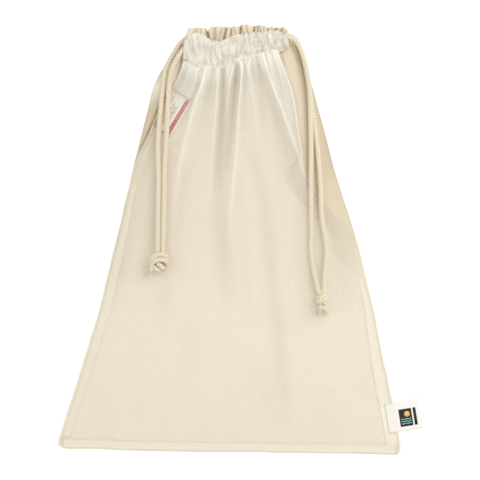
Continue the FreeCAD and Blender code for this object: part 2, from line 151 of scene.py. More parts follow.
def weave(tree, place, pitch, uneven):
    """Height from 0 to 1 of two crossed sets of threads that stand pitch metres apart."""
    rate = 2 * math.pi / (20 * pitch)
    crossed = []
    for direction in ("X", "Y"):
        wave = node(tree, "ShaderNodeTexWave", bands_direction=direction, Vector=place, Scale=rate,
                    Distortion=uneven, Detail=1.0, Detail_Scale=0.35)
        crossed.append(wave.outputs["Fac"])
    return maths(tree, "MAXIMUM", *crossed)


def mixed(tree, share, first, second):
    """One colour mixed into another."""
    return node(tree, "ShaderNodeMix", data_type="RGBA", in0=share, in6=first, in7=second).outputs[2]


def painted(tree, label):
    """A value painted on the mesh."""
    return node(tree, "ShaderNodeAttribute", attribute_name=label).outputs["Fac"]


def clouded(tree, place, scale, detail, **more):
    """Noise from 0 to 1, scale spots a metre."""
    return node(tree, "ShaderNodeTexNoise", Vector=place, Scale=scale, Detail=detail, **more).outputs["Fac"]


def raised(tree, height, strength, distance):
    """The surface's direction with a height up to distance metres on it."""
    return node(tree, "ShaderNodeBump", Strength=strength, Distance=distance, Height=height).outputs["Normal"]


def calico_material():
    """Unbleached cotton: plain weave, cloudy colour, slubs and seed flecks. Painted tone is painted shade in tan, with
    some uneven colour; pale is painted light.
    """
    material, tree, output, place = blank_material("calico")
    tone = painted(tree, "tone")
    pale = painted(tree, "pale")
    clouds = clouded(tree, place, 38.0, 3.0, Roughness=0.55)
    grain = clouded(tree, place, 900.0, 2.0, Roughness=0.6)
    threads = weave(tree, place, CALICO_PITCH, 2.0)
    colour = mixed(tree, clouds, (0.83, 0.742, 0.585, 1), (0.765, 0.672, 0.51, 1))
    colour = mixed(tree, maths(tree, "MULTIPLY", grain, 0.34), colour, (0.60, 0.50, 0.36, 1))
    colour = mixed(tree, maths(tree, "MULTIPLY", maths(tree, "SUBTRACT", 1.0, threads), 0.10), colour,
                   (0.52, 0.43, 0.30, 1))
    # pale: painted light, a paler cream painted over the cotton
    colour = mixed(tree, pale, colour, (0.96, 0.895, 0.75, 1))
    # tone: painted shade in tan, with some uneven colour
    colour = mixed(tree, tone, colour, (0.40, 0.31, 0.195, 1))
    seeds = node(tree, "ShaderNodeTexVoronoi", Vector=place, Scale=105.0, Randomness=1.0).outputs["Distance"]
    chosen = clouded(tree, place, 150.0, 0.0)
    fleck = maths(tree, "MULTIPLY", maths(tree, "LESS_THAN", seeds, 0.045), maths(tree, "GREATER_THAN", chosen, 0.52))
    colour = mixed(tree, maths(tree, "MULTIPLY", fleck, 0.6), colour, (0.20, 0.14, 0.08, 1))
    height = maths(tree, "ADD", maths(tree, "MULTIPLY", threads, 0.5), maths(tree, "MULTIPLY", grain, 0.6))
    bump = raised(tree, height, 0.35, 0.0003)
    rough = maths(tree, "MULTIPLY_ADD", grain, 0.12, 0.82)
    shader = node(tree, "ShaderNodeBsdfPrincipled", Base_Color=colour, Roughness=rough, Normal=bump,
                  Sheen_Weight=0.15, Sheen_Roughness=0.5, Specular_IOR_Level=0.2)
    tree.links.new(shader.outputs[0], output.inputs["Surface"])
    return material


def net_material():
    """Fine cotton net: pale threads with clear holes between, closer together where veil is painted. Painted tone is
    painted shade in brown.
    """
    material, tree, output, place = blank_material("net")
    veil = painted(tree, "veil")
    tone = painted(tree, "tone")
    turned = node(tree, "ShaderNodeMapping", Vector=place)
    turned.inputs["Rotation"].default_value = (0, 0, math.radians(3))
    threads = weave(tree, turned.outputs[0], NET_PITCH, 0.6)
    slubs = clouded(tree, place, 260.0, 2.0)
    clouds = clouded(tree, place, 22.0, 2.0)
    cover = maths(tree, "MULTIPLY_ADD", threads, 0.34, 0.13)
    cover = maths(tree, "ADD", cover, maths(tree, "MULTIPLY_ADD", slubs, 0.16, -0.08))
    cover = maths(tree, "ADD", cover, maths(tree, "MULTIPLY_ADD", clouds, 0.14, -0.07))
    cover = maths(tree, "MINIMUM", maths(tree, "MAXIMUM", maths(tree, "ADD", cover, veil), 0.05), 0.97)
    colour = mixed(tree, slubs, (0.90, 0.866, 0.768, 1), (0.84, 0.80, 0.692, 1))
    # tone: painted shade on the threads
    colour = mixed(tree, tone, colour, (0.47, 0.40, 0.29, 1))
    bump = raised(tree, threads, 0.4, 0.0003)
    shader = node(tree, "ShaderNodeBsdfPrincipled", Base_Color=colour, Normal=bump,
                  Roughness=maths(tree, "MULTIPLY_ADD", slubs, 0.2, 0.72), Specular_IOR_Level=0.2, Sheen_Weight=0.1)
    clear = tree.nodes.new("ShaderNodeBsdfTransparent")
    blend = node(tree, "ShaderNodeMixShader", in0=cover, in1=clear.outputs[0], in2=shader.outputs[0])
    tree.links.new(blend.outputs[0], output.inputs["Surface"])
    return material


def yarn_material(name, pale, deep, scale=1100.0):
    """Soft cotton yarn: two close creams, fluff in the bump. Painted tone darkens it: painted shade in the braid's
    grooves, uneven colour on loose fibres.
    """
    material, tree, output, place = blank_material(name)
    tone = painted(tree, "tone")
    fluff = clouded(tree, place, scale, 3.0, Roughness=0.65)
    colour = mixed(tree, maths(tree, "MULTIPLY", fluff, 0.6), (*pale, 1), (*deep, 1))
    # tone: painted shade, and uneven colour on loose fibres
    colour = mixed(tree, tone, colour, (deep[0] * 0.55, deep[1] * 0.5, deep[2] * 0.42, 1))
    bump = raised(tree, fluff, 0.5, 0.0002)
    shader = node(tree, "ShaderNodeBsdfPrincipled", Base_Color=colour, Normal=bump,
                  Roughness=maths(tree, "MULTIPLY_ADD", fluff, 0.2, 0.75),
                  Sheen_Weight=0.3, Sheen_Roughness=0.4, Specular_IOR_Level=0.2)
    tree.links.new(shader.outputs[0], output.inputs["Surface"])
    return material


def ribbon_material(name, pale, deep):
    """Tightly woven label tape or the ink on it: fine ribs and a slight gloss."""
    material, tree, output, place = blank_material(name)
    ribs = weave(tree, place, RIBBON_PITCH, 0.3)
    wear = clouded(tree, place, 420.0, 3.0)
    colour = mixed(tree, maths(tree, "MULTIPLY", wear, 0.8), (*pale, 1), (*deep, 1))
    bump = raised(tree, ribs, 0.25, 0.0001)
    shader = node(tree, "ShaderNodeBsdfPrincipled", Base_Color=colour, Normal=bump,
                  Roughness=maths(tree, "MULTIPLY_ADD", wear, 0.2, 0.5), Specular_IOR_Level=0.3)
    tree.links.new(shader.outputs[0], output.inputs["Surface"])
    return material


# ---- mesh helpers

def make_piece(name, points, faces, materials, attributes=None, indices=None):
    """A smooth mesh object from points in millimetres, with painted values on its points."""
    mesh = bpy.data.meshes.new(name)
    mesh.from_pydata([(x * MM, y * MM, z * MM) for x, y, z in points], [], faces)
    for label, values in (attributes or {}).items():
        layer = mesh.attributes.new(label, "FLOAT", "POINT")
        layer.data.foreach_set("value", values)
    for material in materials:
        mesh.materials.append(material)
    mesh.polygons.foreach_set("use_smooth", [True] * len(mesh.polygons))
    if indices:
        mesh.polygons.foreach_set("material_index", indices)
    mesh.update()
    made = bpy.data.objects.new(name, mesh)
    bpy.context.scene.collection.objects.link(made)
    return made


def grid_faces(rows, columns, around=False, start=0):
    """Faces of a grid of points stored row by row. around joins the last column to the first."""
    faces = []
    for row in range(rows - 1):
        for column in range(columns if around else columns - 1):
            beside = (column + 1) % columns
            a, b = start + row * columns, start + (row + 1) * columns
            faces.append((a + column, a + beside, b + beside, b + column))
    return faces


def flipped(faces):
    """The same faces seen from the other side."""
    return [tuple(reversed(face)) for face in faces]


def filled_grid(rows, columns, point_at):
    """The columns of what point_at gives for the shares across and up of each point, row by row."""
    made = [point_at(column / (columns - 1), row / (rows - 1)) for row in range(rows) for column in range(columns)]
    return [list(values) for values in zip(*made)]


def drift(x, y, z):
    """Smooth noise from about -1 to 1."""
    return noise.noise(Vector((x, y, z)))


def thicken(piece, gauge):
    """Gives a sheet its real thickness, half to each side."""
    solidify = piece.modifiers.new("gauge", "SOLIDIFY")
    solidify.thickness = gauge * MM
    solidify.offset = 0
    bpy.context.view_layer.objects.active = piece
    bpy.ops.object.select_all(action="DESELECT")
    piece.select_set(True)
    bpy.ops.object.modifier_apply(modifier=solidify.name)


def smooth(edge0, edge1, value):
    """0 below edge0, 1 above edge1, and a soft step between."""
    share = min(1.0, max(0.0, (value - edge0) / (edge1 - edge0)))
    return share * share * (3 - 2 * share)


def bell(value, width):
    """A soft hump of height 1 at 0."""
    return math.exp(-(value / width) ** 2)


def along(table, at):
    """A smooth curve through the table's (at, value) pairs, level past its ends."""
    if at <= table[0][0]:
        return table[0][1]
    if at >= table[-1][0]:
        return table[-1][1]
    index = next(i for i in range(len(table) - 1) if table[i + 1][0] >= at)
    (a, p), (b, q) = table[index], table[index + 1]
    before, after = table[max(0, index - 1)], table[min(len(table) - 1, index + 2)]
    slope_a = (q - before[1]) / (b - before[0])
    slope_b = (after[1] - p) / (after[0] - a)
    t, span = (at - a) / (b - a), b - a
    return ((2 * t ** 3 - 3 * t ** 2 + 1) * p + (t ** 3 - 2 * t ** 2 + t) * span * slope_a
            + (3 * t ** 2 - 2 * t ** 3) * q + (t ** 3 - t ** 2) * span * slope_b)


# ---- cords

CORD = 4.3               # diameter
CORD_STEP = 0.42         # from ring to ring of a cord's mesh
CORD_SIDES, KNOT_SIDES = 24, 20
BRAID_PITCH = 8.4        # travel in which a yarn goes once round
FIBRE_SPREAD = 0.38
FIBRE_FLOOR = 12.5       # height below which the loose fibres of the tips don't hang
BRAID_BASE = 0.955       # radius at the middle of a yarn's flank, as a share of the cord's
TAIL_ROUTES = {
    "left_front_tail": [
        (-36, 168, 17), (-41.5, 163.5, 17.4), (-46.5, 155.5, 16.6), (-50.4, 147, 15), (-53, 134, 13),
        (-53.9, 112, 13.4), (-54.9, 89, 14.6), (-56.8, 60, 15.6), (-56.9, 26, 16.6), (-58, -9.8, 19)],
    "left_back_tail": [
        (-37.3, 175.5, 5.5), (-42, 173.5, 6.5), (-47, 165.5, 8), (-52, 157, 9), (-56.3, 148.5, 9.2),
        (-58, 133, 9.5), (-60.2, 114, 10.4), (-61.6, 98, 11.4), (-62.6, 80, 12.7), (-61.6, 54, 14.5),
        (-62.3, 22, 16), (-62.4, -9.8, 18.8)],
    "right_front_tail": [
        (50, 175, 17), (56.5, 174.5, 17), (61.5, 164.5, 16.6), (65.2, 152.5, 15.8), (68, 139, 14.4), (69.5, 124, 13.2),
        (69.9, 106, 13.2), (70.4, 80, 14), (70, 46, 15), (70.5, 10, 16.4), (69.7, -18, 17), (76.4, -44, 18.4)],
    "right_back_tail": [
        (50.3, 178, 4.1), (57, 177.5, 4.6), (62, 165.5, 6.4), (65.6, 151.5, 7.8), (68.4, 135, 8.4), (71.2, 114, 8.8),
        (75, 88, 10.8), (78.6, 50, 13), (79, 18, 14.8), (84.2, -8, 14.8), (81.6, -28, 16.5), (81.1, -44, 18.2)],
}
LOOP_ROUTES = {
    "left_cord_loop": [
        (-36, 168, 17), (-20, 161.5, 17), (10, 163, 17), (34, 167, 17), (47.5, 168.5, 15.8), (49.5, 170.5, 12),
        (49.5, 172.5, 9), (47.5, 173.6, 5.4), (34, 173.4, 5.2), (10, 173.4, 5.2), (-20, 173.4, 5.3),
        (-37.3, 175.5, 5.5)],
    "right_cord_loop": [
        (50, 175, 17), (34, 174.5, 17), (4, 171, 17), (-24, 168, 17), (-34, 172, 16), (-36.5, 174.5, 12),
        (-36.5, 178.5, 9), (-34, 180, 4.4), (-20, 178.7, 4.1), (4, 178.5, 4.1), (34, 178.5, 4.1), (50.3, 178, 4.1)],
}


def centreline(route):
    """Points in millimetres, close together, along the spline that has the route as its control points."""
    curve = bpy.data.curves.new("route", "CURVE")
    curve.dimensions = "3D"
    spline = curve.splines.new("NURBS")
    spline.points.add(len(route) - 1)
    for point, (x, y, z) in zip(spline.points, route):
        point.co = (x, y, z, 1)
    spline.order_u = 3
    spline.use_endpoint_u = True
    spline.resolution_u = 32
    holder = bpy.data.objects.new("route", curve)
    bpy.context.scene.collection.objects.link(holder)
    bpy.context.view_layer.update()
    line = bpy.data.meshes.new_from_object(holder)
    points = [vertex.co.copy() for vertex in line.vertices]
    bpy.data.objects.remove(holder)
    bpy.data.curves.remove(curve)
    bpy.data.meshes.remove(line)
    return points


def even(points, step):
    """The same line with points about step apart."""
    lengths = [0.0]
    for a, b in zip(points, points[1:]):
        lengths.append(lengths[-1] + (b - a).length)
    count = max(2, round(lengths[-1] / step))
    spaced, index = [], 0
    for number in range(count + 1):
        target = lengths[-1] * number / count
        while index < len(points) - 2 and lengths[index + 1] < target:
            index += 1
        span = lengths[index + 1] - lengths[index]
        spaced.append(points[index].lerp(points[index + 1], (target - lengths[index]) / span if span else 0))
    return spaced, lengths[-1]


def tube(points, radius, sides, shape=None):
    """Points and faces of a closed tube along a line. shape(turn, travel) scales the radius."""
    verts, side = [], None
    travel = 0.0
    for number, point in enumerate(points):
        ahead = points[min(number + 1, len(points) - 1)] - points[max(number - 1, 0)]
        ahead.normalize()
        if side is None:
            side = ahead.orthogonal().normalized()
        side = (side - ahead * side.dot(ahead)).normalized()
        up = ahead.cross(side)
        if number:
            travel += (point - points[number - 1]).length
        for corner in range(sides):
            turn = 2 * math.pi * corner / sides
            reach = radius * (shape(turn, travel) if shape else 1)
            verts.append(tuple(point + side * (math.cos(turn) * reach) + up * (math.sin(turn) * reach)))
    faces = grid_faces(len(points), sides, around=True)
    faces.append(tuple(reversed(range(sides))))
    faces.append(tuple(range(len(verts) - sides, len(verts))))
    return verts, faces


def braid(turn, travel):
    """Six yarns plaited round the cord: small diamonds that stand up between grooves."""
    twist = 2 * math.pi * travel / BRAID_PITCH
    one, other = math.cos(3 * (turn + twist)), math.cos(3 * (turn - twist))
    return BRAID_BASE + 0.085 * max(one, other)


def groove_shade(relief):
    """Painted shade for the grooves between the yarns."""
    return max(0.0, min(0.9, 0.33 - 3.8 * (relief - BRAID_BASE)))


def make_cord(name, route, cord, node_name):
    """A plaited cord along a route, in place of its CAD node."""
    path, length = even(centreline(route), CORD_STEP)
    verts, faces = tube(path, CORD / 2, CORD_SIDES, braid)
    groove = []
    for index in range(len(verts)):
        ring, corner = divmod(index, CORD_SIDES)
        # painted shade in the grooves between the yarns
        groove.append(groove_shade(braid(2 * math.pi * corner / CORD_SIDES, ring * length / (len(path) - 1))))
    piece = make_piece(name, verts, faces, [cord], {"tone": groove})
    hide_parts(node_name)
    return piece, path


def join_parts(parts):
    """One list of points, one of faces, and a painted value a point, from several meshes."""
    verts, faces, tones = [], [], []
    for part_verts, part_faces, tone in parts:
        start = len(verts)
        verts += part_verts
        faces += [tuple(start + i for i in face) for face in part_faces]
        tones += tone if isinstance(tone, list) else [tone] * len(part_verts)
    return verts, faces, tones


def fray(rng, root, ahead, count, length):
    """Loose fibres that splay from the cut end of a cord."""
    parts = []
    ahead = ahead.normalized()
    for _ in range(count):
        aim = (ahead + Vector([rng.gauss(0, FIBRE_SPREAD) for _ in range(3)])).normalized()
        curl = Vector([rng.gauss(0, 0.5) for _ in range(3)])
        reach = length * rng.uniform(0.55, 1.1)
        start = root + Vector([rng.uniform(-1.2, 1.2) for _ in range(3)])
        line = [start + aim * (reach * t) + curl * (reach * 0.5 * t * t) for t in (0, 0.25, 0.5, 0.75, 1)]
        for point in line:
            point.z = max(point.z, FIBRE_FLOOR)
        verts, faces = tube(line, rng.uniform(0.22, 0.36), 5,
                            lambda turn, travel, r=reach: 1.0 - 0.6 * min(1, travel / r))
        parts.append((verts, faces, rng.uniform(0, 0.2)))
    return parts


def make_knot(name, strands, tips, cord, seed):
    """Both ends of a cord tied together: strands that wrap each other, and frayed tips."""
    rng = random.Random(seed)
    parts = []
    for route, scale in strands:
        path, _ = even(centreline(route), CORD_STEP)
        verts, faces = tube(path, CORD / 2 * scale, KNOT_SIDES, braid)
        # painted shade in the grooves between the yarns
        tones = [groove_shade(braid(2 * math.pi * (i % KNOT_SIDES) / KNOT_SIDES, (i // KNOT_SIDES) * CORD_STEP))
                 for i in range(len(verts))]
        parts.append((verts, faces, tones))
    for root, aim, count, length in tips:
        parts += fray(rng, Vector(root), Vector(aim), count, length)
    verts, faces, tones = join_parts(parts)
    piece = make_piece(name, verts, faces, [cord], {"tone": tones})
    return piece


def wraps(centre, wide, tall, deep, turns, lean):
    """Control points of a coil that leans as it winds down round an upright core."""
    steps = round(turns * 12)
    points = []
    for step in range(steps + 1):
        turn = 2 * math.pi * turns * step / steps
        drop = 1 - 2 * step / steps
        belly = 1 - 0.22 * drop * drop
        points.append((centre[0] + wide * belly * math.cos(turn),
                       centre[1] + tall * drop + lean * math.cos(turn + 0.5),
                       centre[2] + deep * belly * math.sin(turn)))
    return points


LEFT_KNOT = [
    ([(-62.4, -9, 18.8), (-62.2, -12, 18.6), (-61.5, -16, 18), (-60, -20, 17.5)], 0.98),
    ([(-58, -9, 19), (-58.2, -12, 18.6), (-59, -16, 18), (-61, -20, 17.5)], 0.98),
    ([(-60, -21.5, 16.6), (-65, -22, 16.4), (-68.6, -20, 18.2), (-67, -15.6, 21.6), (-62.5, -12.6, 23),
      (-57.2, -12.4, 22.8), (-53.9, -15.4, 20.6), (-54.6, -19, 17.6), (-59, -20.5, 16.6)], 1.0),
    ([(-56, -22, 16.8), (-53.8, -20, 19.2), (-56.6, -17.2, 22.4), (-61.5, -16.6, 23.6), (-66, -19, 22),
      (-68.4, -22.6, 19), (-66.4, -25.6, 17.8)], 0.98),
    ([(-67, -22, 18), (-64.5, -23.8, 21), (-61.5, -26.6, 20.4), (-58.6, -25.6, 18.4)], 0.95),
    ([(-62.4, -20.6, 21.4), (-60.4, -21.4, 22.6), (-58.6, -23.2, 22.4), (-57.2, -24.8, 21.6)], 0.92),
    ([(-65.4, -23.4, 19.4), (-66.8, -24.8, 19.4), (-68, -26.2, 18.8), (-68.6, -26.8, 18.4)], 0.9),
]
LEFT_TIPS = [((-57.2, -24.8, 21.4), (0.5, -0.8, -0.2), 40, 3.6), ((-68.6, -26.8, 18.2), (-0.62, -0.7, -0.15), 46, 4.2)]
RIGHT_CENTRE = (79.4, -51, 18.6)
RIGHT_KNOT = [
    (wraps(RIGHT_CENTRE, 3.85, 3.5, 2.9, 2.2, 1.5), 1.0),
    ([(76.4, -43, 18.4), (77.4, -46, 18.4), (78.6, -49, 18.2), (79.4, -52, 18)], 0.96),
    ([(81.1, -43, 18.2), (80.6, -46, 18.3), (80, -49, 18.2), (79.4, -52, 18)], 0.96),
    ([(79.4, -52, 18.2), (78.6, -56, 18), (78, -58.4, 17.6), (77.4, -60, 17.2)], 0.9),
    ([(79.4, -52, 18), (80.4, -56, 18), (80.8, -58.6, 17.6), (81.2, -60.4, 17.2)], 0.9),
]
RIGHT_TIPS = [((77.2, -60.2, 17.2), (-0.5, -0.85, -0.1), 40, 5.0), ((81.4, -60.6, 17.2), (0.45, -0.85, -0.1), 40, 5.0)]


# ---- outline of the bag

LEFT_EDGE = [            # (y, x) of the folded edge on the left, from the hem to the mouth
    (-179.2, -150.7), (-175.7, -150.5), (-168.8, -148.8), (-140.9, -140.1), (-134, -137.5), (-120.1, -133.1),
    (-106.1, -128.8), (-92.2, -124.4), (-78.3, -120.1), (-64.4, -115.7), (-50.5, -112.2), (-36.5, -108.8),
    (-22.6, -105.3), (-8.7, -101.8), (5.2, -98.3), (19.1, -94.8), (33.1, -91.9), (47, -88.3), (60.9, -85.3),
    (74.8, -81.8), (88.7, -78.3), (102.7, -74.8), (116.6, -71.3), (130.5, -67.9), (137.5, -65.3),
    (145.3, -61.5), (152.3, -56.3), (161.8, -49.8), (170.5, -44.6), (177.5, -39.5)]
RIGHT_EDGE = [
    (-187, 147.2), (-184.6, 149.2), (-180, 149.5), (-175.7, 148.8), (-168.8, 147.9), (-140.9, 142.7),
    (-134, 140.9), (-120.1, 138.3), (-106.1, 134.9), (-92.2, 132.2), (-78.3, 129.6), (-64.4, 127), (-50.5, 123.7),
    (-36.5, 120.1),
    (-22.6, 116.6), (-8.7, 113.1), (5.2, 109), (19.1, 105), (33.1, 100.3), (47, 95.9), (60.9, 91.6),
    (74.8, 87.9), (88.7, 84.4), (102.7, 80.7), (116.6, 76.8), (130.5, 73.1), (137.5, 71.1),
    (145.3, 68.6), (152.3, 66.2), (160.1, 62.8), (168.8, 58.6), (175.7, 53)]
HEM_EDGE = [             # (x, y) of the bottom
    (-150.7, -179.2), (-147, -181.4), (-143.6, -182.5), (-134, -182.7), (-116.6, -182.8), (-87, -184.2),
    (-26.1, -185.3), (26.1, -185.4), (40, -186.2), (110, -187), (143, -188), (147.5, -187.6), (149.6, -185.6)]
NET_LEFT = [             # (y, x) of the net's own left edge above the place where it leaves the fold
    (62, -84.6), (65.3, -83.2), (71.3, -80.2), (78.3, -77.2), (85.3, -74), (92.2, -70.6), (100.1, -67.2),
    (109.6, -62.8), (121.8, -56.6), (133.1, -49.9), (143.6, -43.9), (154.9, -40), (165.3, -38.5)]
NET_RIGHT = [
    (-6, 110.2), (5, 105), (15, 97), (27, 86), (38, 76), (50, 68), (65.3, 63.6), (78.3, 62.3), (91.4, 60.2),
    (117.5, 56.6), (130.5, 53.6), (143.6, 48.9), (156.6, 43.8), (167, 41)]
STITCH_LINE = [          # (x, y) of the row that closes the net casing
    (-42, 154), (-33.1, 149.6), (-24.4, 146.3), (-20.9, 148.6), (-10.4, 148), (-3.5, 150.1), (1.7, 153.1),
    (8.7, 156.6), (19.1, 158.8), (26.1, 159.4), (36.5, 162.3), (43.5, 163.6), (50, 165.3)]
NET_TOP = [              # (x, y) of the top of the net casing
    (-39.5, 168.7), (-36.5, 175), (-33.1, 178), (-28.7, 179.2), (-24.4, 178.4), (-20.9, 176.6), (-18.3, 173.5),
    (-13.1, 172.3), (-7, 172.9), (-4.4, 174), (-0.9, 175.7), (5.2, 177.5), (12.2, 178.4), (19.1, 179.2),
    (26.1, 179.4), (31.3, 180.5), (36.5, 181.2), (42.6, 180.1), (47, 177.5), (49.6, 173)]
RIM_TOP = [              # (x, y) of the top of the cotton casing
    (-37.8, 177.5), (-35.7, 181.8), (-33.2, 184.6), (-29.6, 185.4), (-24.4, 185.4), (-20.9, 184.6), (-19, 182.7),
    (-17.2, 186), (-12.2, 186.7), (-6.1, 186.2), (0, 186.6), (6.1, 187.2), (13.1, 187.7), (19.1, 187.1),
    (24.4, 187.5), (31.3, 186.8), (35.7, 186.3), (42.6, 185.8), (47.5, 185.2), (50, 181.5), (51.3, 175)]
MIDDLE = 8.3             # x of the line that the two halves of the mouth close on
SLIT = 117.0             # y of the slits' lower ends
LIP = 148.3              # y where the front becomes the level lip under its casing
NECK_STEPS = [(0, 0), (0.34, 0.22), (0.7, 0.68), (1, 1)]


def front_height(x, y):
    """How high the front of the bag stands over the table: a low cushion of air that narrows to the neck."""
    if y <= SLIT:
        left, right = along(LEFT_EDGE, y), along(RIGHT_EDGE, y)
        swell = math.sin(min(1.0, max(0.0, (y + 184) / (SLIT + 184) / 0.3)) * math.pi / 2)
        rise, puff = 2.0, 2 + 14 * swell
    else:
        inward = along(NECK_STEPS, min(1.0, (y - SLIT) / (LIP - SLIT)))
        left, right = -71 + 27 * inward, 76.5 - 19.5 * inward
        rise, puff = 2 + 7 * inward, 16 - 7.8 * inward
    middle, half = (left + right) / 2, (right - left) / 2
    share = abs(x - middle) / half
    if share <= 1:
        return rise + puff * (1 - share * share)
    return max(1.0, rise - (share - 1) * half * 0.5)


# ---- folds and shading of the net

RIDGES = [               # (points (y, x) going down, width top to bottom, height, whiteness)
    ([(176, -17), (155, -21.7), (146, -22.5), (134, -24.8), (120, -30.5), (87, -39), (52, -46), (-11, -51)],
     1.5, 3.6, 1.5, 0.36),
    ([(152, -9.2), (143, -10.2), (124, -11.4), (82, -14.8), (50, -17)], 0.8, 2.2, 1.3, 0.42),
    ([(151, 3.6), (145, 2.0), (136, 0.2), (124, -1.7), (104, -3.4)], 0.7, 1.6, 0.8, 0.34),
    ([(158, 6.5), (151, 10.2), (136, 9.6), (106, 7), (82, 6), (48, 2.5), (20, 0)], 0.8, 1.9, 1.7, 0.50),
    ([(159, 19.1), (148, 15.6), (139, 18.4), (113, 21.6), (87, 23.5)], 1.0, 2.6, 0.8, 0.22),
    ([(160, 28.8), (146, 33), (134, 37), (118, 43.5), (104, 48.4), (86, 55), (72, 60)], 0.8, 1.2, 0.7, 0.42),
    ([(150, -33), (140, -37), (126, -44)], 1.0, 2.0, 0.8, 0.26),
    ([(150, -27), (135, -31), (118, -38), (95, -48)], 1.0, 2.4, 0.7, 0.20),
]
HOLLOWS = [              # (points (y, x) going down, width top to bottom, depth, shade)
    ([(148, -6), (121.8, -6.6), (88, -9), (64, -11)], 2.4, 4.4, 1.5, 0.62),
    ([(150, 6.2), (140, 5), (121.8, 3.4), (100, 1.6), (70, -1.5)], 2.2, 3.6, 1.4, 0.66),
    ([(146, -18), (120, -21), (100, -24)], 2.2, 4, 0.6, 0.04),
    ([(144, -26.5), (128, -33), (112, -38)], 1.2, 2.4, 0.7, 0.20),
    ([(150, 13.4), (120, 12.5), (95, 12)], 1.6, 3.6, 0.7, 0.20),
    ([(142, 29), (122, 35), (104, 41), (82, 48), (50, 54)], 2.0, 4.6, 0.6, 0.18),
    ([(150, 24), (120, 27), (90, 31)], 1.8, 3.6, 0.6, 0.14),
]
LABEL_TURN, LABEL_CENTRE = math.radians(-31), (-52.5, 111.9)
TAG_ANGLE, TAG_FOLD = math.radians(9), (145.6, -154.6)
DOUBLED_EDGE = [         # (y, x) of the left side of the doubled net on the right of the neck
    (39, 65.3), (74, 58.3), (88.7, 52.2), (104.4, 47), (117.5, 42.6), (129.6, 37.4), (158.3, 32.2), (169.7, 27.8)]
GATHERS = [              # (folds across the net, height, how far below the stitches they last)
    (6.5, 0.9, 62), (11.5, 0.75, 34), (19.0, 0.6, 17), (31.0, 0.5, 9),
]
BODY_FOLDS = [           # (points (y, x) going down, width, shade) of the long soft folds below the gathers
    ([(120, -3), (61, -9), (10, -7), (-30, -3)], 7.5, 0.17),
    ([(80, 19), (35, 28), (-52, 39), (-139, 48)], 6.0, 0.12),
    ([(122, 35), (83, 43), (52, 46)], 6.0, 0.09),
    ([(60, -40), (30, -45), (-13, -52), (-52, -57)], 6.0, 0.07),
    ([(60, 8), (0, 12), (-60, 17)], 4.5, 0.05),
]


LEFT_SHADE = [(-60, -105), (-8.7, -92), (43.5, -82), (90, -70)]     # (y, x) of the middle of the shade
RIGHT_SHADE = [(-60, 104), (-8, 97), (52, 88)]


def side_shade(x, y):
    """Soft shade where the cushion of air turns down towards the two sides."""
    left = bell(x - along(LEFT_SHADE, y), 8) * smooth(-75, -15, y) * smooth(90, 50, y)
    right = bell(x - along(RIGHT_SHADE, y), 8.5) * smooth(-75, -20, y) * smooth(70, 40, y)
    shade = 0.16 * left + 0.11 * right
    for points, width, depth in BODY_FOLDS:
        top, low = points[0][0], points[-1][0]
        if low - 40 < y < top + 20:
            place = along([(-a, b) for a, b in points], -y)
            shade += depth * bell(x - place, width) * smooth(low - 40, low + 15, y) * smooth(top + 20, top - 15, y)
    return shade


def line_effect(lines, x, y):
    """Height and paint that a list of fold lines gives at a point."""
    lift, paint = 0.0, 0.0
    for points, wide_top, wide_low, height, colour in lines:
        top, low = points[0][0], points[-1][0]
        if not low - 30 < y < top + 6:
            continue
        place = along([(-a, b) for a, b in points], -y)
        share = min(1.0, max(0.0, (top - y) / (top - low)))
        width = wide_top + (wide_low - wide_top) * share
        fade = (1 - 0.75 * share) * smooth(low - 30, low + 4, y) * smooth(top + 6, top - 1, y)
        hump = bell(x - place, width) * fade
        lift += height * hump
        paint += colour * hump
    return lift, paint


def gather_height(across, below):
    """Fine pleats under the stitches that join into fewer, softer folds further down."""
    total = 0.0
    for number, (count, height, lasts) in enumerate(GATHERS):
        wobble = 0.35 * math.sin(across * 5.1 + number * 1.7)
        total += height * math.exp(-max(0.0, below) / lasts) * math.cos(2 * math.pi * (count * across + wobble))
    return total


def net_edges(y):
    """The net's left and right edges at a height."""
    left = along(NET_LEFT, y) if y > 62 else along(LEFT_EDGE, y) + 1.0 - 0.3 * smooth(50, 62, y)
    right = along(NET_RIGHT, y) if y > -6 else along(RIGHT_EDGE, y) - 1.1 - 4.4 * smooth(-40, -6, y) ** 3
    return left, right


